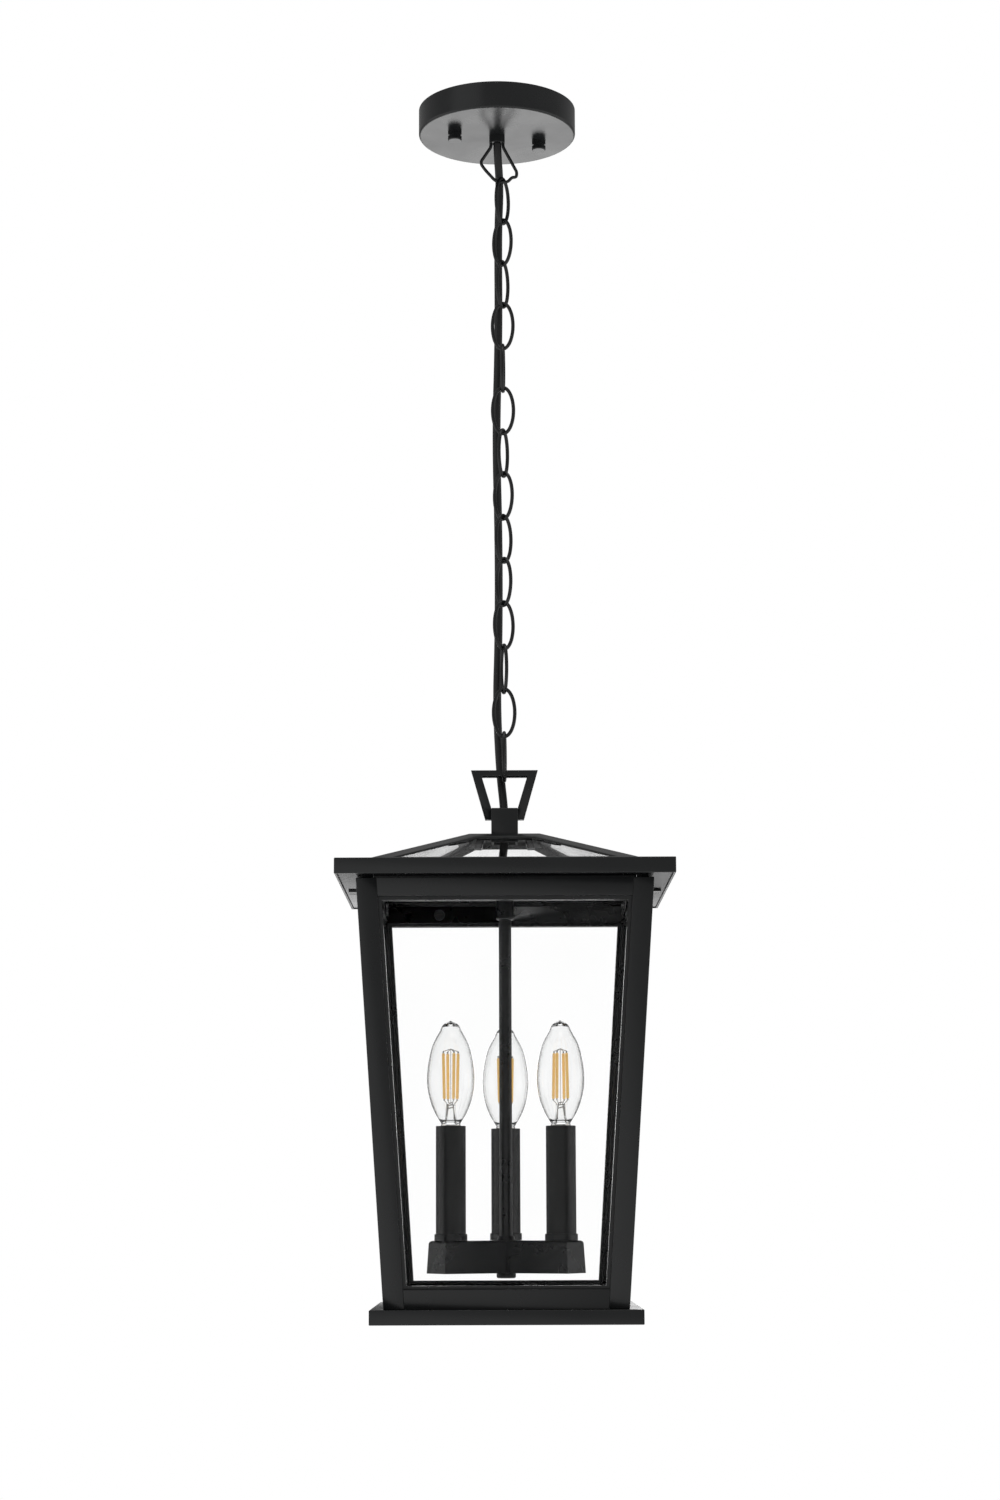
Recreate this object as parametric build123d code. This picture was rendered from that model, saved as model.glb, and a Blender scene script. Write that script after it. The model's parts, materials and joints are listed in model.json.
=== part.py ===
"""Hanging square lantern: ceiling canopy, chain and cord, glazed cage, three-candle cluster.

Millimetres, +Z up, -Y is the front.  The origin is the centre of the canopy on the ceiling plane.
"""
import math
import os

from build123d import *

os.makedirs("parts", exist_ok=True)

# ---- driving dimensions --------------------------------------------------------------------
lantern_x = 4.0
canopy_r = 62.0
canopy_h = 21.0
canopy_wall = 1.2
stud_spacing = 70.0
stud_turn = 18.0
stud_r = 2.0
box_screw_pcd = 88.9
box_screw_r = 2.3
nipple_r = 5.0
collar_r = 6.15
collar_bottom = -27.0
hanger_wire_r = 1.25
link_len = 39.88
link_wid = 19.1
link_wire = 2.8
link_gap = 0.03
link_count = 14
link_top = -54.5
link_turns = [54, -33, 59, -10, 86, -2, 66, -33, 45, -48, 29, -76, 0, 86]
cord_r = 3.15
loop_bar_h = 5.5
loop_depth = 6.0
tube_w = 20.3
tube_wall = 2.0
roof_top_z = -582.5
roof_top_half = 26.3
roof_low_half = 105.5
roof_sheet = 1.6
roof_strip = 10.5
roof_glass_t = 3.0
rim_half = 123.0
rim_top_z = -612.2
rim_low_z = -623.7
rim_wall = 2.0
cage_top_z = -625.0
cage_low_z = -932.7
cage_top_half = 108.05
cage_low_half = 88.0
member = 15.0
top_rail_low_z = -638.3
low_rail_top_z = -918.7
base_half = 97.84
base_low_z = -943.3
pane_t = 3.0
stem_r = 4.75
stem_bore_r = 3.35
hub_top = -884.9
hub_low = -908.7
hub_arm_half = 14.0
hub_reach = 59.8
candle_circle = 47.1
candle_turns = [210, 330, 90]
sleeve_r = 11.1
sleeve_top = -801.0
cup_r = 12.15
bulb_r = 17.8
bulb_h = 78.0
filament_r = 1.2
filament_h = 33.5

# ---- helpers -------------------------------------------------------------------------------


def prism(z_top, z_low, top_box, low_box):
    """Six-sided solid from an upper and a lower rectangle, each (x0, x1, y0, y1)."""
    def ring(box, z):
        x0, x1, y0, y1 = box
        return [Vector(x0, y0, z), Vector(x1, y0, z), Vector(x1, y1, z), Vector(x0, y1, z)]
    return hexa(ring(top_box, z_top), ring(low_box, z_low))


def hexa(a, b):
    """Six-sided solid between two quads whose corners are in the same order."""
    faces = [Face(Wire.make_polygon(a, close=True)), Face(Wire.make_polygon(b, close=True))]
    for i in range(4):
        j = (i + 1) % 4
        faces.append(Face(Wire.make_polygon([a[i], a[j], b[j], b[i]], close=True)))
    solid = Solid(Shell(faces))
    if solid.volume < 0:
        solid = Solid(Shell([-f for f in faces]))
    return Part() + solid


def square_ring(z_top, z_low, out_half, in_half):
    outer = prism(z_top, z_low, (-out_half, out_half, -out_half, out_half),
                  (-out_half, out_half, -out_half, out_half))
    inner = prism(z_top + 1, z_low - 1, (-in_half, in_half, -in_half, in_half),
                  (-in_half, in_half, -in_half, in_half))
    return outer - inner


def rod(r, z_top, z_low, x=0.0, y=0.0):
    return Pos(x, y, (z_top + z_low) / 2) * Cylinder(r, z_top - z_low)


def pipe(r, bore, z_top, z_low, x=0.0, y=0.0):
    return rod(r, z_top, z_low, x, y) - rod(bore, z_top + 1, z_low - 1, x, y)


def hexnut(r, bore, z_top, z_low, x=0.0, y=0.0):
    nut = Pos(x, y, z_low) * extrude(RegularPolygon(r, 6), z_top - z_low)
    return nut - rod(bore, z_top + 1, z_low - 1, x, y)


def turned(shape, deg):
    return Rot(0, 0, deg) * shape


def four(shape):
    return [turned(shape, k * 90) for k in range(4)]


def bent_tube(points, r, share=0.45):
    """Round wire along straight runs joined by tangent arcs."""
    radii = []
    for i in range(1, len(points) - 1):
        a, b, c = Vector(points[i - 1]), Vector(points[i]), Vector(points[i + 1])
        turn = math.radians((b - a).get_angle(c - b))
        radii.append(share * min((b - a).length, (c - b).length) / math.tan(turn / 2))
    path = FilletPolyline(*points, radius=radii)
    start = Plane(origin=path @ 0, z_dir=path % 0)
    return sweep(start * Circle(r), path), radii


def save(name, shape, dx=0.0):
    if isinstance(shape, list):
        shape = Compound(children=[Pos(dx, 0, 0) * s for s in shape])
    else:
        shape = Pos(dx, 0, 0) * shape
    export_step(shape, "parts/" + name + ".step")
    b = shape.bounding_box()
    print(name, "z %.1f..%.1f" % (b.min.Z, b.max.Z), "x %.1f..%.1f" % (b.min.X, b.max.X),
          "vol %.0f" % shape.volume)


# ---- canopy --------------------------------------------------------------------------------
sx = stud_spacing / 2 * math.cos(math.radians(stud_turn))
sy = stud_spacing / 2 * math.sin(math.radians(stud_turn))
canopy = rod(canopy_r, 0, -canopy_h)
canopy = fillet(canopy.edges().filter_by(GeomType.CIRCLE).sort_by(Axis.Z)[0], 1.6)
canopy -= rod(canopy_r - canopy_wall, 1, -canopy_h + canopy_wall)
canopy -= rod(nipple_r + 0.2, 1, -canopy_h - 1)
for s in (-1, 1):
    canopy -= rod(stud_r + 0.4, 1, -canopy_h - 1, s * sx, s * sy)
save("canopy_shell", canopy)

bar = Pos(0, 0, -1.0) * Box(108, 16, 2.0)
bar -= rod(nipple_r + 0.02, 1, -3)
for s in (-1, 1):
    bar -= rod(stud_r + 0.02, 1, -3, s * stud_spacing / 2, 0)
    bar -= rod(box_screw_r, 1, -3, s * box_screw_pcd / 2, 0)
bar -= rod(1.6, 1, -3, 16, 0)
save("mounting_crossbar", turned(bar, stud_turn))

studs = [rod(stud_r, 0, -26.5, s * stud_spacing / 2, 0) for s in (-1, 1)]
ground = rod(1.58, -0.2, -4.0, 16, 0) + rod(3.6, -2.02, -4.4, 16, 0)
save("crossbar_screws", [turned(s, stud_turn) for s in studs + [ground]])


def cap_nut(x, y):
    body = rod(5.4, -canopy_h - 0.02, -canopy_h - 7.4, x, y)
    body = fillet(body.edges().filter_by(GeomType.CIRCLE).sort_by(Axis.Z)[0], 0.8)
    body -= pipe(6.5, 4.4, -canopy_h - 2.7, -canopy_h - 4.0, x, y)
    for k in range(24):
        a = math.radians(k * 15)
        cut = Pos(x + 5.55 * math.cos(a), y + 5.55 * math.sin(a), -canopy_h - 3.6)
        body -= cut * Rot(0, 0, k * 15 + 45) * Box(0.7, 0.7, 5.6)
    return body - rod(stud_r + 0.05, -canopy_h + 1, -canopy_h - 5.9, x, y)


save("canopy_cap_nuts", [cap_nut(-sx, -sy), cap_nut(sx, sy)])
save("canopy_nipple", pipe(nipple_r, 3.8, 0, -24.0))
save("nipple_nuts", [hexnut(8.5, nipple_r + 0.02, -2.02, -5.3),
                     hexnut(8.5, nipple_r + 0.02, -canopy_h + canopy_wall + 3.0, -canopy_h + canopy_wall)])
collar = rod(collar_r, -canopy_h - 0.02, collar_bottom)
collar = fillet(collar.edges().filter_by(GeomType.CIRCLE).sort_by(Axis.Z)[0], 0.4)
collar -= rod(nipple_r + 0.02, -canopy_h + 1, -24.02)
collar -= rod(3.6, -23, -28)
for s in (-1, 1):
    collar -= rod(hanger_wire_r + 0.02, -24.4, -28, s * 4.75, 0)
save("chain_collar", collar)

# ---- hanger wire and chain -----------------------------------------------------------------
seat_z = link_top - link_wire - hanger_wire_r - 0.09
hanger_points = [(-4.75, 0, -24.5), (-4.75, 0, -29.5), (-13.4, 0, -42.6), (-9.6, 0, -48.4),
                 (lantern_x - 4.6, 0, seat_z), (lantern_x + 4.4, 0, seat_z), (11.6, 0, -54.9),
                 (15.3, 0, -54.6), (15.6, 0, -50.4), (4.75, 0, -29.5), (4.75, 0, -24.5)]
hanger, hanger_radii = bent_tube(hanger_points, hanger_wire_r, 0.4)
save("hanger_wire", hanger)

pitch = link_len - 2 * link_wire - link_gap
for i in range(link_count):
    wire_path = Plane.XZ * Ellipse((link_wid - link_wire) / 2, (link_len - link_wire) / 2).wire()
    section = Plane(origin=wire_path @ 0, z_dir=wire_path % 0) * Circle(link_wire / 2)
    link = sweep(section, wire_path)
    cz = link_top - i * pitch - link_len / 2
    save("chain_link_%02d" % (i + 1), Pos(lantern_x, 0, cz) * turned(link, link_turns[i]))
link14_low = link_top - 13 * pitch - link_len

# ---- cords ---------------------------------------------------------------------------------
back = 13.3
cord_points = [(0.0, 0.0, -9.0), (0.0, 0.0, -31.0), (2.3, 11.2, -58.0), (0.5, back, -95.0),
               (0.9, back + 0.3, -180.0), (-1.7, back, -262.0), (0.3, back + 0.3, -345.0),
               (0.0, back, -425.0), (-1.8, back, -475.0), (0.6, back, -530.0),
               (lantern_x, 4.3, -561.5), (lantern_x + 0.02, 4.2, -574.8)]
cord, cord_radii = bent_tube(cord_points, cord_r)
print("cord radii", [round(r, 1) for r in cord_radii])
save("supply_cord", cord)
low_points = [(0.02, 4.2, -575.2), (0.0, 4.0, -588.0), (-1.9, 1.8, -600.0), (0.0, 0.0, -611.5),
              (0.02, 0.0, -640.0)]
low_cord, low_radii = bent_tube(low_points, cord_r)
print("low cord radii", [round(r, 1) for r in low_radii])
save("lantern_cord", low_cord, lantern_x)

# ---- hanging loop and finial tube ----------------------------------------------------------
bar_low = link14_low + link_wire + 0.72
bar_top = bar_low + loop_bar_h
half_tube = tube_w / 2
outline = Polyline((-25.5, bar_top), (25.5, bar_top), (14.8, bar_top - 38.1), (half_tube + 0.01, bar_top - 38.1),
                   (half_tube + 0.01, -559.6), (17.2, bar_low), (-17.2, bar_low),
                   (-half_tube - 0.01, -559.6), (-half_tube - 0.01, bar_top - 38.1),
                   (-14.8, bar_top - 38.1), close=True)
loop_face = Plane.XZ * make_face(outline)
loop = extrude(loop_face, loop_depth / 2, both=True)
under = loop.edges().filter_by(Axis.X).sort_by(Axis.Z)
under = [e for e in under if abs(e.center().Z - bar_low) < 0.01]
loop = fillet(under, 2.0)
save("hanging_loop", loop, lantern_x)
tube = square_ring(-560.6, -588.3, half_tube, half_tube - tube_wall)
save("finial_tube", tube, lantern_x)

# ---- roof ----------------------------------------------------------------------------------
fall = (roof_top_z - rim_top_z) / (roof_low_half - roof_top_half)
slope_run = math.hypot(1.0, fall)
hip_angle = math.atan(slope_run)
side_inset = roof_strip / math.sin(hip_angle)
end_inset = roof_strip / slope_run


def roof_slab(h_top, h_low, x_top, x_low, drop, thick):
    """Sloping slab on the front side between two distances from the centre."""
    def z_at(h):
        return roof_top_z - (h - roof_top_half) * fall - drop
    a = [Vector(-x_top, -h_top, z_at(h_top)), Vector(x_top, -h_top, z_at(h_top)),
         Vector(x_low, -h_low, z_at(h_low)), Vector(-x_low, -h_low, z_at(h_low))]
    b = [v - Vector(0, 0, thick) for v in a]
    return hexa(a, b)


h1 = roof_top_half + end_inset
h2 = roof_low_half - end_inset
side = roof_slab(roof_top_half, roof_low_half, roof_top_half, roof_low_half, 0, roof_sheet)
side -= roof_slab(h1, h2, h1 - side_inset, h2 - side_inset, -2, 6)
roof = Pos(0, 0, 0) * four(side)[0]
for piece in four(side)[1:]:
    roof += piece
cap = square_ring(roof_top_z, roof_top_z - 2.0, roof_top_half, half_tube + 0.02)
roof += cap
save("roof_frame", roof, lantern_x)
g1 = roof_top_half + 1.0
g2 = roof_low_half - 2.5
panes = four(roof_slab(g1, g2, g1 - 2.3, g2 - 2.3, roof_sheet + 0.02, roof_glass_t))
save("roof_glass", panes, lantern_x)

clips = []
for s in (-1, 1):
    a, b = roof_top_half + 0.5, roof_top_half + 13.0
    za = roof_top_z - (a - roof_top_half) * fall - roof_sheet - roof_glass_t - 1.3
    zb = roof_top_z - (b - roof_top_half) * fall - roof_sheet - roof_glass_t - 1.3
    hip_clip = hexa([Vector(a - 3, -a - 3, za), Vector(a + 3, -a + 3, za),
                     Vector(b + 3, -b + 3, zb), Vector(b - 3, -b - 3, zb)],
                    [Vector(a - 3, -a - 3, za - 1.4), Vector(a + 3, -a + 3, za - 1.4),
                     Vector(b + 3, -b + 3, zb - 1.4), Vector(b - 3, -b - 3, zb - 1.4)])
    clips += [turned(hip_clip, k * 180 + (0 if s < 0 else 90)) for k in range(2)]
save("roof_glass_clips", clips, lantern_x)
saddle = Pos(0, 0, roof_top_z - 3.0) * Box(42.6, 14, 2.0) - Pos(0, 0, roof_top_z - 3) * Box(
    tube_w + 0.04, tube_w + 0.04, 6)
for s in (-1, 1):
    tab = hexa([Vector(s * 21.3, -7, roof_top_z - 4.0), Vector(s * 15.6, -7, roof_top_z - 4.0),
                Vector(s * 15.6, 7, roof_top_z - 4.0), Vector(s * 21.3, 7, roof_top_z - 4.0)],
               [Vector(s * 23.0, -7, roof_top_z - 10.0), Vector(s * 17.6, -7, roof_top_z - 10.0),
                Vector(s * 17.6, 7, roof_top_z - 10.0), Vector(s * 23.0, 7, roof_top_z - 10.0)])
    saddle += tab
save("tube_saddle", saddle, lantern_x)

# ---- rim band and strap --------------------------------------------------------------------
rim = square_ring(rim_top_z, rim_low_z, rim_half, rim_half - rim_wall)
rim += square_ring(rim_top_z, rim_top_z - 1.5, rim_half - rim_wall / 2, roof_low_half + 0.01)
rim += square_ring(rim_low_z + 2.5, rim_low_z + 1.0, rim_half - rim_wall / 2, 99.0)
save("rim_band", rim, lantern_x)
strap = Pos(0, 0, rim_low_z + 0.98 - 1.0) * Box(236.6, 20, 1.96)
strap -= rod(stem_r + 0.02, -600, -650)
save("cross_strap", strap, lantern_x)

# ---- cage ----------------------------------------------------------------------------------
taper = (cage_top_half - cage_low_half) / (cage_top_z - cage_low_z)


def half_at(z):
    return cage_low_half + (z - cage_low_z) * taper


def box_at(z, x0, x1, y0, y1):
    """Rectangle given as distances inward from the outer faces at height z."""
    h = half_at(z)
    return (-h + x0, -h + x1, -h + y0, -h + y1)


def side_slab(z_top, z_low, inset, y0, y1):
    """Slab parallel to the front face; inset is measured from both corners."""
    ht, hl = half_at(z_top), half_at(z_low)
    return prism(z_top, z_low, (-ht + inset, ht - inset, -ht + y0, -ht + y1),
                 (-hl + inset, hl - inset, -hl + y0, -hl + y1))


leg = prism(cage_top_z, cage_low_z, box_at(cage_top_z, 0, member, 0, member),
            box_at(cage_low_z, 0, member, 0, member))
leg += Pos(-100.0, -100.0, (cage_top_z + rim_low_z + 0.98) / 2) * Box(9, 9, rim_low_z + 0.98 - cage_top_z)
save("cage_legs", four(leg), lantern_x)
upstand = Pos(0, -100.2, (cage_top_z + rim_low_z + 0.98) / 2) * Box(190, 5, rim_low_z + 0.98 - cage_top_z)
side_upstand = upstand - Pos(0, -100.2, cage_top_z) * Box(20.4, 8, 8)
rail = side_slab(cage_top_z, top_rail_low_z, member, 0, member)
rails = [turned(rail + (upstand if k % 2 == 0 else side_upstand), k * 90) for k in range(4)]
save("cage_top_rails", rails, lantern_x)
save("cage_bottom_rails", four(side_slab(low_rail_top_z, cage_low_z, member, 0, member)), lantern_x)

top_open, low_open = top_rail_low_z, low_rail_top_z
for piece, name in zip(four(side_slab(top_open - 0.05, low_open + 0.05, member + 0.05, 7.0, 7.0 + pane_t)),
                       ("front", "right", "back", "left")):
    save("glass_" + name, piece, lantern_x)
beads = []
for y0 in (4.0, 7.0 + pane_t + 0.02):
    ring = side_slab(top_open, low_open, member, y0, y0 + 2.9)
    ring -= side_slab(top_open - 2.6, low_open + 2.6, member + 2.6, y0 - 1, y0 + 4)
    beads += four(ring)
save("glazing_beads", beads, lantern_x)

screws = []
for s in (-1, 1):
    h = half_at(-632.0) - member
    head = Pos(s * 51.7, -h + 1.2, -632.0) * Rot(90, 0, 0) * Cylinder(4.35, 1.8)
    head -= Pos(s * 51.7, -h + 2.2, -632.0) * Box(6.2, 1.2, 0.9)
    screws += four(head)
save("rail_screws", screws, lantern_x)
base = square_ring(cage_low_z - 0.01, base_low_z, base_half, 72.0)
base = chamfer(base.edges().filter_by(Axis.Z).sort_by(lambda e: -abs(e.center().X) - abs(e.center().Y))[0:4], 0.4)
save("base_frame", base, lantern_x)

# ---- stem, hub and candles -----------------------------------------------------------------
save("stem", pipe(stem_r, stem_bore_r, -614.0, -906.0), lantern_x)
coupling = rod(6.8, -624.7, -645.5)
coupling = fillet(coupling.edges().filter_by(GeomType.CIRCLE).sort_by(Axis.Z)[0], 1.6)
coupling -= rod(stem_r + 0.02, -600, -650)
flare = Pos(0, 0, (hub_top - 881.6) / 2 + 0.01) * Cone(6.9, 5.9, -881.6 - hub_top - 0.02)
flare -= rod(stem_r + 0.02, -870, -890)
nuts = [coupling, hexnut(8.0, stem_r + 0.02, -617.4, -622.7), flare,
        hexnut(7.5, stem_r + 0.02, hub_top - 3.02, hub_top - 6.5)]
save("stem_nuts", nuts, lantern_x)


def star(half, reach, z_top, z_low, draft=0.0):
    body = None
    for a in candle_turns:
        arm = prism(z_top, z_low, (0, reach - draft, -half + draft, half - draft),
                    (0, reach, -half, half))
        arm = turned(arm, a)
        body = arm if body is None else body + arm
    return body + rod(half, z_top, z_low)


hub = star(hub_arm_half, hub_reach, hub_top, hub_low, 1.2)
top_edges = [e for e in hub.edges() if abs(e.center().Z - hub_top) < 0.01]
hub = fillet(top_edges, 2.4)
hub -= star(hub_arm_half - 2.4, hub_reach - 2.4, hub_top - 3.0, hub_low - 1)
hub -= rod(stem_r + 0.02, hub_top + 1, hub_low)
for a in candle_turns:
    px = candle_circle * math.cos(math.radians(a))
    py = candle_circle * math.sin(math.radians(a))
    hub -= rod(3.0, hub_top + 1, hub_low, px, py)
save("hub", hub, lantern_x)
cover = star(hub_arm_half - 2.5, hub_reach - 2.5, hub_low + 1.6, hub_low + 0.02) - rod(3.3, -890, -920)
save("hub_cover", cover, lantern_x)
knob = rod(7.2, hub_low, hub_low - 4.0)
knob = fillet(knob.edges().filter_by(GeomType.CIRCLE).sort_by(Axis.Z)[0], 1.5)
knob += rod(3.2, hub_low + 8.0, hub_low - 1.0)
save("hub_knob", knob, lantern_x)

cups, sleeves, sockets = [], [], []
for a in candle_turns:
    px = candle_circle * math.cos(math.radians(a))
    py = candle_circle * math.sin(math.radians(a))
    cup = rod(cup_r, hub_top + 5.0, hub_top, px, py)
    cup = fillet(cup.edges().filter_by(GeomType.CIRCLE).sort_by(Axis.Z)[-1], 0.6)
    cup -= rod(sleeve_r + 0.02, hub_top + 6, hub_top + 1.0, px, py)
    cup -= rod(3.0, hub_top + 6, hub_top - 1, px, py)
    cups.append(cup)
    sleeves.append(pipe(sleeve_r, sleeve_r - 1.1, sleeve_top, hub_top + 1.02, px, py))
    socket = rod(9.0, sleeve_top - 1.6, sleeve_top - 45.0, px, py)
    socket -= rod(6.4, sleeve_top, sleeve_top - 24.0, px, py)
    socket += rod(3.4, sleeve_top - 45.0, hub_top + 1.02, px, py)
    socket -= rod(1.6, sleeve_top - 46.0, hub_top, px, py)
    sockets.append(socket)
save("candle_cups", cups, lantern_x)
save("candle_sleeves", sleeves, lantern_x)
save("sockets", sockets, lantern_x)

# ---- bulbs ---------------------------------------------------------------------------------
z0 = sleeve_top


def bulb_profile(r_off, tip):
    """Half outline of the candle-shaped envelope, from the neck up to the tip."""
    pts = [(7.1 - r_off, z0 + 1.0), (8.3 - r_off, z0 + 4.0), (12.0 - r_off, z0 + 10.3),
           (14.7 - r_off, z0 + 16.8), (16.9 - r_off, z0 + 25.0), (bulb_r - r_off, z0 + 34.0),
           (17.3 - r_off, z0 + 43.0), (15.6 - r_off, z0 + 53.0), (12.5 - r_off, z0 + 62.5),
           (7.6 - r_off, z0 + 71.5), (0.0, z0 + tip)]
    return pts


def revolved(pts, r_end):
    with BuildSketch(Plane.XZ) as sk:
        with BuildLine():
            curve = Spline(*pts, tangents=[(0.1, 1), (-1, 0.35)])
            Line((0, pts[-1][1]), (0, pts[0][1]))
            Line((0, pts[0][1]), pts[0])
        make_face()
    return revolve(sk.sketch, Axis.Z)


for n, a in enumerate(candle_turns):
    px = candle_circle * math.cos(math.radians(a))
    py = candle_circle * math.sin(math.radians(a))
    outer = revolved(bulb_profile(0.0, bulb_h), 0)
    inner_pts = [(r, z + (1.5 if i == 0 else 0)) for i, (r, z) in enumerate(bulb_profile(0.8, bulb_h - 2.0))]
    envelope = outer - revolved(inner_pts, 0)
    envelope += Pos(0, 0, z0 + 9.0) * Cone(4.6, 3.4, 14.0)
    save("bulb_%d_glass" % (n + 1), Pos(px, py, 0) * envelope, lantern_x)
    screw = rod(7.4, z0 + 0.98, z0 + 0.2) + rod(5.9, z0 + 0.3, z0 - 20.0) + rod(2.4, z0 - 19.5, z0 - 23.8)
    for k in range(4):
        screw += Pos(0, 0, z0 - 5.0 - k * 3.2) * Torus(5.75, 0.35)
    save("bulb_%d_base" % (n + 1), Pos(px, py, 0) * screw, lantern_x)
    strands = [rod(0.35, z0 + 57.5, z0 + 16.02)]
    for k in range(4):
        t = math.radians(45 + 90 * k)
        strand = Cylinder(filament_r, filament_h)
        lean = Rot(0, 3.0, 0) * strand
        strands.append(Pos(5.0 * math.cos(t), 5.0 * math.sin(t), z0 + 37.5) * turned(lean, 45 + 90 * k))
    strands.append(Pos(0, 0, z0 + 55.6) * (Cylinder(6.4, 0.5) - Cylinder(5.6, 2)))
    strands.append(Pos(0, 0, z0 + 19.9) * (Cylinder(4.9, 0.5) - Cylinder(4.1, 2)))
    save("bulb_%d_filaments" % (n + 1), [Pos(px, py, 0) * s for s in strands], lantern_x)
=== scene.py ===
"""Looks for the hanging lantern: satin black paint, clear glass, cord, lamps, studio."""
import json
import math

import bmesh
import bpy
from mathutils import Matrix, Vector


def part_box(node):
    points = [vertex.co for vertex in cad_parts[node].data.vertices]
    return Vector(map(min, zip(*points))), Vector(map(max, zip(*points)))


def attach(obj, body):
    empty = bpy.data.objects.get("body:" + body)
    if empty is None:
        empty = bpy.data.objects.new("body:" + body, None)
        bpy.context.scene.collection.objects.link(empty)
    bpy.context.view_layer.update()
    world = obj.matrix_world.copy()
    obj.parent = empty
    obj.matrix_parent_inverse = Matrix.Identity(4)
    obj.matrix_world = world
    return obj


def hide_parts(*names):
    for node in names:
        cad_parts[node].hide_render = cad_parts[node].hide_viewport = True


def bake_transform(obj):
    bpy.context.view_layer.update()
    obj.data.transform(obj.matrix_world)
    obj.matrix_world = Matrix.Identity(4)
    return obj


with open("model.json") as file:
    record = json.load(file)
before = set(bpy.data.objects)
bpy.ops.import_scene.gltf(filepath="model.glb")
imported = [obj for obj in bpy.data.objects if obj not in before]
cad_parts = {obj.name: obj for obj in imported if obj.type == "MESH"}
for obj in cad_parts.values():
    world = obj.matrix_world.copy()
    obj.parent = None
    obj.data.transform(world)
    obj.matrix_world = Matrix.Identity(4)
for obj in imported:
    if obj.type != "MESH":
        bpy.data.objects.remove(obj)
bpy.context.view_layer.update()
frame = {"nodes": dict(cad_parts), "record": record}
nodes = frame["nodes"]
LX = 0.004                      # X of the lantern's axis
CORD_R = 0.00315                # cord radius

# ---- materials -----------------------------------------------------------------------------


def material(name):
    m = bpy.data.materials.new(name)
    m.use_nodes = True
    nt = m.node_tree
    return m, nt, nt.nodes["Principled BSDF"]


def add(nt, kind, **values):
    n = nt.nodes.new(kind)
    for key, val in values.items():
        if key in n.inputs:
            n.inputs[key].default_value = val
        else:
            setattr(n, key, val)
    return n


def ramp(nt, source, stops):
    n = nt.nodes.new("ShaderNodeValToRGB")
    while len(n.color_ramp.elements) < len(stops):
        n.color_ramp.elements.new(0.5)
    for el, (pos, col) in zip(n.color_ramp.elements, stops):
        el.position = pos
        el.color = (*col, 1.0) if len(col) == 3 else col
    nt.links.new(source, n.inputs["Fac"])
    return n


def noise(nt, scale, detail, **values):
    """Noise in object space; gives its value output."""
    where = add(nt, "ShaderNodeTexCoord")
    n = add(nt, "ShaderNodeTexNoise", Scale=scale, Detail=detail, **values)
    nt.links.new(where.outputs["Object"], n.inputs["Vector"])
    return n.outputs["Fac"]


def two_tone(name, scale, detail, stops, **sockets):
    """Material whose colour varies a little between two tones; the rest is set on its sockets."""
    m, nt, p = material(name)
    c = ramp(nt, noise(nt, scale, detail), stops)
    nt.links.new(c.outputs["Color"], p.inputs["Base Color"])
    for key, val in sockets.items():
        p.inputs[key.replace("_", " ")].default_value = val
    return m


def paint(name, tone, rough, grain):
    """Sprayed satin paint: fine orange peel and slow changes of sheen."""
    m, nt, p = material(name)
    slow = noise(nt, 22.0, 4.0, Roughness=0.6)
    fine = noise(nt, grain, 2.0, Roughness=0.5)
    darker = tuple(c * 0.88 for c in tone)
    paler = tuple(c * 1.14 for c in tone)
    col = ramp(nt, slow, [(0.3, darker), (0.7, paler)])
    nt.links.new(col.outputs["Color"], p.inputs["Base Color"])
    lo, hi = rough - 0.035, rough + 0.05
    rr = ramp(nt, slow, [(0.3, (lo, lo, lo)), (0.75, (hi, hi, hi))])
    nt.links.new(rr.outputs["Color"], p.inputs["Roughness"])
    bp = add(nt, "ShaderNodeBump", Strength=0.03, Distance=0.0004)
    nt.links.new(fine, bp.inputs["Height"])
    nt.links.new(bp.outputs["Normal"], p.inputs["Normal"])
    return m


black = paint("satin_black_paint", (0.0092, 0.0102, 0.0108), 0.28, 420.0)
chain_black = paint("chain_black_paint", (0.0065, 0.007, 0.0075), 0.26, 500.0)
sleeve_black = paint("sleeve_black_paint", (0.0065, 0.007, 0.0075), 0.34, 500.0)

zinc = two_tone("zinc_plate", 160.0, 5.0, [(0.3, (0.46, 0.47, 0.48)), (0.7, (0.66, 0.66, 0.64))],
                Metallic=1.0, Roughness=0.38)
nickel = two_tone("nickel_plate", 400.0, 3.0,
                  [(0.3, (0.62, 0.61, 0.58)), (0.7, (0.78, 0.77, 0.74))],
                  Metallic=1.0, Roughness=0.22)
phenolic = two_tone("black_phenolic", 500.0, 3.0,
                    [(0.3, (0.011, 0.011, 0.011)), (0.7, (0.02, 0.02, 0.02))], Roughness=0.5)
# amber strands with a painted glow: their emission brightens them though the lamps are not lit
amber_painted_glow = two_tone("amber_filament_painted_glow", 700.0, 3.0,
                 [(0.3, (0.90, 0.58, 0.20)), (0.7, (0.96, 0.70, 0.30))],
                 Roughness=0.4, Subsurface_Weight=0.2, Subsurface_Scale=0.001,
                 Emission_Color=(0.95, 0.58, 0.18, 1), Emission_Strength=0.42)

rubber = two_tone("cord_jacket", 30.0, 2.0,
                  [(0.3, (0.006, 0.0062, 0.0065)), (0.7, (0.010, 0.0103, 0.0107))], Roughness=0.42)
nt = rubber.node_tree
bp = add(nt, "ShaderNodeBump", Strength=0.03, Distance=0.0003)
nt.links.new(noise(nt, 260.0, 3.0), bp.inputs["Height"])
nt.links.new(bp.outputs["Normal"], nt.nodes["Principled BSDF"].inputs["Normal"])


def glass(name, tint, ior):
    clearer = tuple(min(1.0, v * 1.005) for v in tint)
    duller = tuple(v * 0.995 for v in tint)
    return two_tone(name, 14.0, 2.0, [(0.35, clearer), (0.65, duller)],
                    Transmission_Weight=1.0, Roughness=0.0, IOR=ior)


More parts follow.
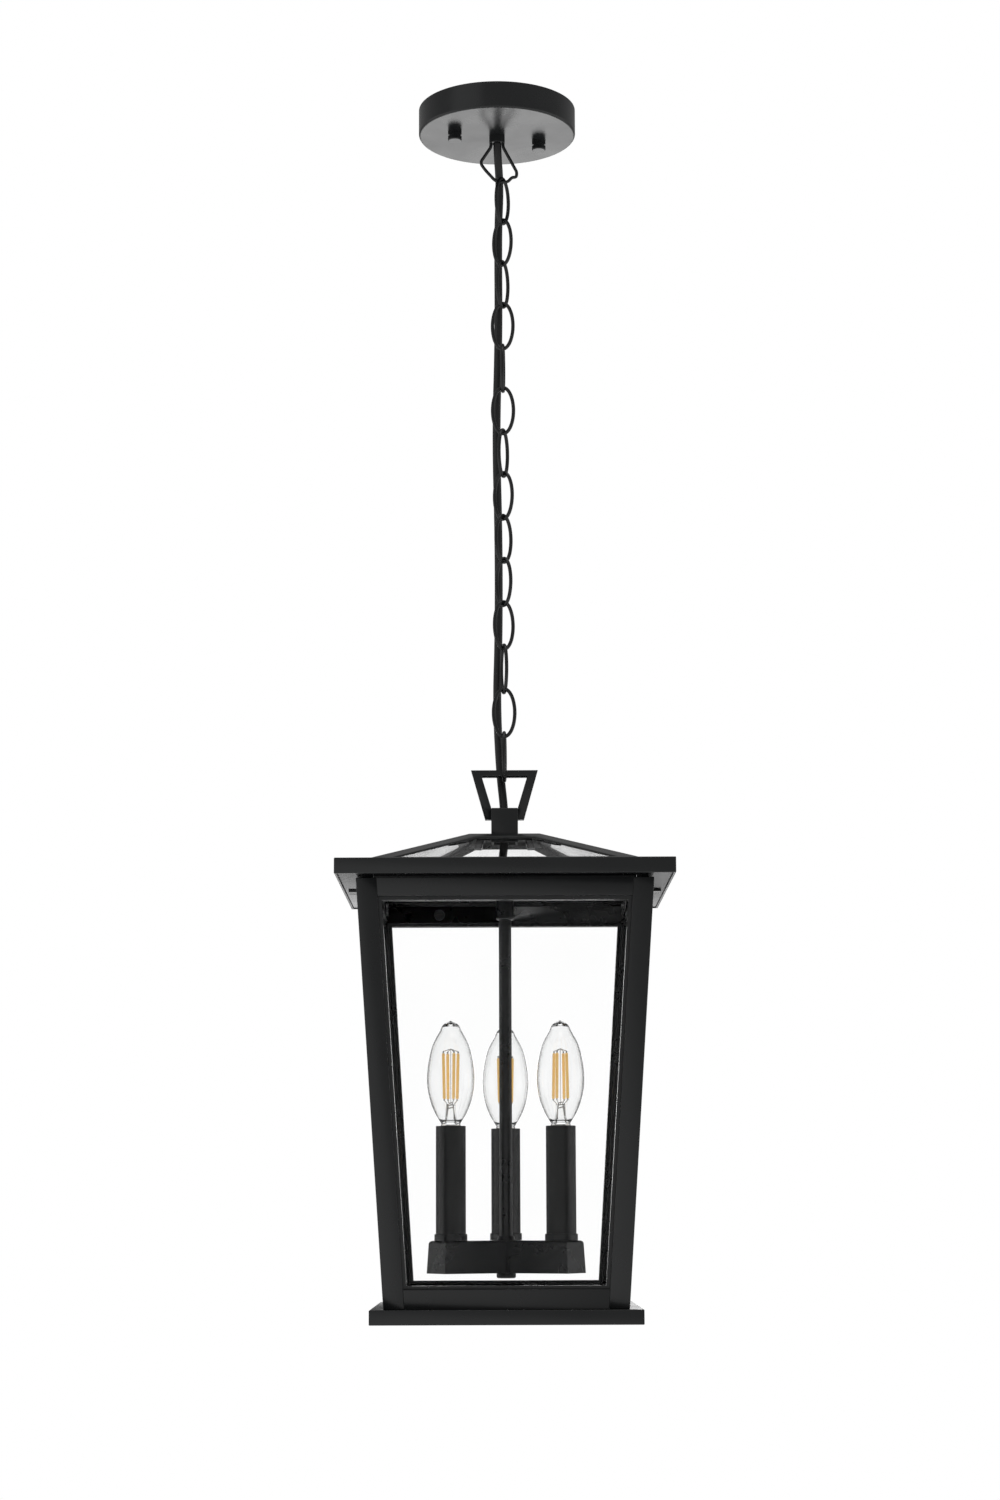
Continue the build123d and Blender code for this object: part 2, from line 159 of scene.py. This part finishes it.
pane_glass = glass("clear_flat_glass", (0.997, 0.999, 0.998), 1.08)
bulb_glass = glass("clear_blown_glass", (0.99, 0.992, 0.992), 1.42)

by_slot = {"black_steel": black, "chain_steel": chain_black, "zinc_steel": zinc,
           "cord_jacket": rubber, "pane_glass": pane_glass, "bulb_glass": bulb_glass,
           "bulb_base": nickel, "filament": amber_painted_glow, "sleeve_black": sleeve_black,
           "socket_black": phenolic}

# ---- CAD nodes -----------------------------------------------------------------------------
# width of the rounded edge on each pressed or welded piece, in metres
crisp = {"rim_band": 0.0006, "cage_legs": 0.0006, "cage_top_rails": 0.0005,
         "cage_bottom_rails": 0.0005, "base_frame": 0.0007, "roof_frame": 0.0004,
         "hanging_loop": 0.0005, "finial_tube": 0.0006, "cross_strap": 0.0003,
         "tube_saddle": 0.0003}
slots = {s["node"]: s["material_slot"] for s in frame["record"]["subparts"]}
for name, obj in nodes.items():
    mat = by_slot[slots[name]]
    if not obj.material_slots:
        obj.data.materials.append(mat)
    for s in obj.material_slots:
        s.material = mat
    if slots[name] == "pane_glass":
        continue
    bpy.context.view_layer.objects.active = obj
    obj.select_set(True)
    bpy.ops.object.shade_smooth_by_angle(angle=math.radians(32))
    obj.select_set(False)
    if name in crisp:
        weld = obj.modifiers.new("weld", "WELD")
        weld.merge_threshold = 0.00001
        bevel = obj.modifiers.new("edge", "BEVEL")
        bevel.width = crisp[name]
        bevel.segments = 2
        bevel.limit_method = "ANGLE"
        bevel.angle_limit = math.radians(35)
        bevel.harden_normals = True

# ---- helpers for new pieces ----------------------------------------------------------------


def piece_from(bm, name, mat, body):
    me = bpy.data.meshes.new(name)
    bm.to_mesh(me)
    bm.free()
    obj = bpy.data.objects.new(name, me)
    bpy.context.collection.objects.link(obj)
    me.materials.append(mat)
    for poly in me.polygons:
        poly.use_smooth = True
    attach(obj, body)
    return obj


def route(name, points):
    cu = bpy.data.curves.new(name, "CURVE")
    cu.dimensions = "3D"
    cu.resolution_u = 24
    sp = cu.splines.new("NURBS")
    sp.points.add(len(points) - 1)
    for pt, co in zip(sp.points, points):
        pt.co = (*co, 1.0)
    sp.order_u = 3
    sp.use_endpoint_u = True
    obj = bpy.data.objects.new(name, cu)
    bpy.context.collection.objects.link(obj)
    return obj


def tube_on(name, points, radius, mat):
    """Round tube on a NURBS route, as a mesh, and the points of its centre line."""
    guide = route(name + "_route", points)
    bpy.context.view_layer.update()
    dg = bpy.context.evaluated_depsgraph_get()
    line = bpy.data.meshes.new_from_object(guide.evaluated_get(dg))
    path = [tuple(v.co) for v in line.vertices]
    guide.data.bevel_depth = radius
    guide.data.bevel_resolution = 6
    guide.data.use_fill_caps = True
    bpy.context.view_layer.update()
    dg = bpy.context.evaluated_depsgraph_get()
    me = bpy.data.meshes.new_from_object(guide.evaluated_get(dg))
    me.name = name
    obj = bpy.data.objects.new(name, me)
    bpy.context.collection.objects.link(obj)
    me.materials.clear()
    me.materials.append(mat)
    for poly in me.polygons:
        poly.use_smooth = True
    bpy.data.objects.remove(guide)
    return obj, path


# ---- cords ---------------------------------------------------------------------------------
BACK = 0.0133                   # how far behind the chain the cord hangs
cord_route = [(0.0, 0.0, -0.009), (0.0, 0.0, -0.031), (0.0023, 0.0112, -0.058),
              (0.0005, BACK, -0.095), (0.0009, BACK + 0.0003, -0.180), (-0.0017, BACK, -0.262),
              (0.0003, BACK + 0.0003, -0.345), (0.0, BACK, -0.425), (-0.0018, BACK, -0.475),
              (0.0006, BACK, -0.530), (LX, 0.0043, -0.5615), (LX + 0.00002, 0.0042, -0.5748)]
cord, cord_path = tube_on("supply_cord_jacket", cord_route, CORD_R, rubber)
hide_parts("supply_cord")
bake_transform(cord)

low_route = [(LX + 0.00002, 0.0042, -0.5752), (LX, 0.0040, -0.588), (LX - 0.0019, 0.0018, -0.600),
             (LX, 0.0, -0.6115), (LX + 0.00002, 0.0, -0.640)]
low, low_path = tube_on("lantern_cord_jacket", low_route, CORD_R, rubber)
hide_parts("lantern_cord")
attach(low, "lantern")

# ---- lamps: filaments, their wires, and the post and coils in the middle ------------------------


def rounded_rod(bm, a, b, r, seg=14):
    """Rod with rounded ends from a to b."""
    a, b = Vector(a), Vector(b)
    axis = (b - a).normalized()
    side = axis.orthogonal().normalized()
    up = axis.cross(side)
    rings = []
    stops = [(0.0, 0.35), (0.35, 0.8), (1.0, 1.0)]
    length = (b - a).length
    profile = [(r * t, r * w) for t, w in stops]
    profile += [(length - r * t, r * w) for t, w in reversed(stops)]
    for dist, rad in profile:
        ring = []
        for k in range(seg):
            t = 2 * math.pi * k / seg
            offset = (side * math.cos(t) + up * math.sin(t)) * rad
            ring.append(bm.verts.new(a + axis * dist + offset))
        rings.append(ring)
    for lo, hi in zip(rings, rings[1:]):
        for k in range(seg):
            j = (k + 1) % seg
            bm.faces.new((lo[k], lo[j], hi[j], hi[k]))
    bm.faces.new(list(reversed(rings[0])))
    bm.faces.new(rings[-1])


STRAND_R = 0.00112              # filament strand
PIN_R = 0.00062                 # metal end of a strand
LEAD_R = 0.0003                 # lead-in wire
TURN = {1: 24, 2: 62, 3: 24}    # turn of the four strands in each lamp, in degrees

for n in (1, 2, 3):
    lo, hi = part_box("bulb_%d_glass" % n)
    cx, cy = (lo[0] + hi[0]) / 2, (lo[1] + hi[1]) / 2
    z0 = lo[2] - 0.001
    z_low, z_top = z0 + 0.0198, z0 + 0.0538
    r_low, r_top = (0.0060, 0.0052) if n == 2 else (0.0052, 0.0060)
    rods = bmesh.new()
    wires = bmesh.new()
    for k in range(4):
        t = math.radians(TURN[n] + 90 * k)
        dx, dy = math.cos(t), math.sin(t)
        ax, ay = cx + dx * r_low, cy + dy * r_low
        bx, by = cx + dx * r_top, cy + dy * r_top
        rounded_rod(rods, (ax, ay, z_low), (bx, by, z_top), STRAND_R)
        rounded_rod(wires, (ax, ay, z_low - 0.0012), (ax, ay, z_low + 0.0010), PIN_R, 8)
        rounded_rod(wires, (cx + dx * 0.0020, cy + dy * 0.0020, z0 + 0.0150),
                    (ax, ay, z_low - 0.0009), LEAD_R, 8)
        rounded_rod(wires, (bx, by, z_top - 0.0008), (bx, by, z_top + 0.0014), PIN_R, 8)
        rounded_rod(wires, (bx, by, z_top + 0.0011), (cx, cy, z_top + 0.0030), LEAD_R, 8)
    # post in the middle, coils at its foot, and the two wires down into the screw base
    rounded_rod(wires, (cx, cy, z0 + 0.0155), (cx, cy, z_top + 0.0032), 0.00022, 8)
    for k in range(3):
        zt = z0 + 0.0130 + k * 0.0018
        rounded_rod(wires, (cx - 0.0016, cy, zt), (cx + 0.0016, cy, zt + 0.0009), 0.00035, 8)
    for k in (-1, 1):
        rounded_rod(wires, (cx + k * 0.0028, cy, z0 + 0.0025),
                    (cx + k * 0.0012, cy, z0 + 0.0150), LEAD_R, 8)
    body = "bulb_%d" % n
    strands = piece_from(rods, "bulb_%d_strands" % n, amber_painted_glow, body)
    leads = piece_from(wires, "bulb_%d_leads" % n, nickel, body)
    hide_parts("bulb_%d_filaments" % n)
    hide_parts("bulb_%d_filaments" % n)

# ---- studio --------------------------------------------------------------------------------
floor_bm = bmesh.new()
bmesh.ops.create_grid(floor_bm, x_segments=4, y_segments=4, size=4.0)
me = bpy.data.meshes.new("floor")
floor_bm.to_mesh(me)
floor_bm.free()
floor = bpy.data.objects.new("floor", me)
floor.location = (0, 0, -2.6)
bpy.context.collection.objects.link(floor)
floor_mat, nt, p = material("pale_floor")
p.inputs["Base Color"].default_value = (0.86, 0.86, 0.86, 1)
p.inputs["Roughness"].default_value = 0.8
p.inputs["Emission Color"].default_value = (1, 1, 1, 1)
p.inputs["Emission Strength"].default_value = 0.45
me.materials.append(floor_mat)

world = bpy.data.worlds.new("studio")
bpy.context.scene.world = world
world.use_nodes = True
nt = world.node_tree
nt.nodes.clear()
out = nt.nodes.new("ShaderNodeOutputWorld")
seen = add(nt, "ShaderNodeBackground", Color=(1, 1, 1, 1), Strength=1.0)
lit = add(nt, "ShaderNodeBackground", Color=(1, 1, 1, 1))
mix = nt.nodes.new("ShaderNodeMixShader")
light_path = nt.nodes.new("ShaderNodeLightPath")
where = nt.nodes.new("ShaderNodeTexCoord")
sep = nt.nodes.new("ShaderNodeSeparateXYZ")
nt.links.new(where.outputs["Generated"], sep.inputs[0])


def maths(operation, a, b):
    """Math node on output a and on b, which is a number or another output."""
    n = add(nt, "ShaderNodeMath", operation=operation)
    nt.links.new(a, n.inputs[0])
    if isinstance(b, float):
        n.inputs[1].default_value = b
    else:
        nt.links.new(b, n.inputs[1])
    return n.outputs[0]


def slope(source, start, end, low, high):
    """Runs from low to high while source runs from start to end, and is level outside."""
    n = add(nt, "ShaderNodeMapRange")
    for key, val in (("From Min", start), ("From Max", end), ("To Min", low), ("To Max", high)):
        n.inputs[key].default_value = val
    nt.links.new(source, n.inputs["Value"])
    return n.outputs["Result"]


# seen directly or straight through glass the backdrop is white; reflections see the studio
straight = maths("MULTIPLY", maths("LESS_THAN", light_path.outputs["Diffuse Depth"], 0.5),
                 maths("LESS_THAN", light_path.outputs["Glossy Depth"], 0.5))
through = maths("MULTIPLY", light_path.outputs["Is Transmission Ray"], straight)
either = maths("MAXIMUM", light_path.outputs["Is Camera Ray"], through)

# dim room with two side panels, and one bright upright strip behind and below the lantern
across, away, up = sep.outputs["X"], sep.outputs["Y"], sep.outputs["Z"]
spread = maths("ABSOLUTE", across, 0.0)
front = maths("MULTIPLY", slope(up, -0.15, 0.10, 0.62, 0.31), slope(away, -0.4, 0.2, 1.0, 0.0))
room = maths("ADD", front, slope(away, -0.4, 0.3, 0.0, 0.27))
panels = maths("MULTIPLY", slope(spread, 0.78, 0.95, 0.0, 0.55), slope(up, 0.10, 0.30, 1.0, 0.0))
strip = maths("MULTIPLY", slope(spread, 0.12, 0.34, 1.0, 0.0), slope(away, 0.2, 0.5, 0.0, 1.0))
low_part = slope(up, -0.36, -0.16, 2.4, 0.0)
level_part = maths("MULTIPLY", slope(up, -0.03, 0.02, 0.0, 2.4),
                   slope(up, 0.08, 0.22, 1.0, 0.0))
strip = maths("MULTIPLY", strip, maths("ADD", low_part, level_part))
total = maths("ADD", maths("ADD", room, panels), strip)
nt.links.new(total, lit.inputs["Strength"])
nt.links.new(either, mix.inputs[0])
nt.links.new(lit.outputs[0], mix.inputs[1])
nt.links.new(seen.outputs[0], mix.inputs[2])
nt.links.new(mix.outputs[0], out.inputs["Surface"])


LANTERN = Vector((0, 0, -0.6))


def soft_light(name, loc, size, power):
    data = bpy.data.lights.new(name, "AREA")
    data.shape = "RECTANGLE"
    data.size = data.size_y = size
    data.energy = power
    obj = bpy.data.objects.new(name, data)
    obj.location = loc
    obj.rotation_euler = (LANTERN - Vector(loc)).to_track_quat("-Z", "Y").to_euler()
    bpy.context.collection.objects.link(obj)
    obj.visible_camera = False


soft_light("key", (-1.6, -1.6, 0.9), 1.8, 3)
soft_light("top", (0.2, -0.3, 1.6), 1.6, 10)

# ---- camera --------------------------------------------------------------------------------
CAMERA_AT = (0.0007, -2.1565, -0.8645)
TILT_UP = math.radians(9.22)
ROLL = math.radians(-0.2)
cam_data = bpy.data.cameras.new("camera")
cam = bpy.data.objects.new("camera", cam_data)
bpy.context.collection.objects.link(cam)
cam_data.sensor_width = 36.0
cam_data.lens = 68.4
cam_data.clip_start = 0.05
turn = Matrix.Rotation(math.radians(90) + TILT_UP, 4, "X") @ Matrix.Rotation(ROLL, 4, "Z")
cam.matrix_world = Matrix.Translation(CAMERA_AT) @ turn
bpy.context.scene.camera = cam
bpy.context.scene.view_settings.view_transform = "Standard"
bpy.context.scene.view_settings.look = "None"
bpy.context.scene.view_settings.exposure = 0.0
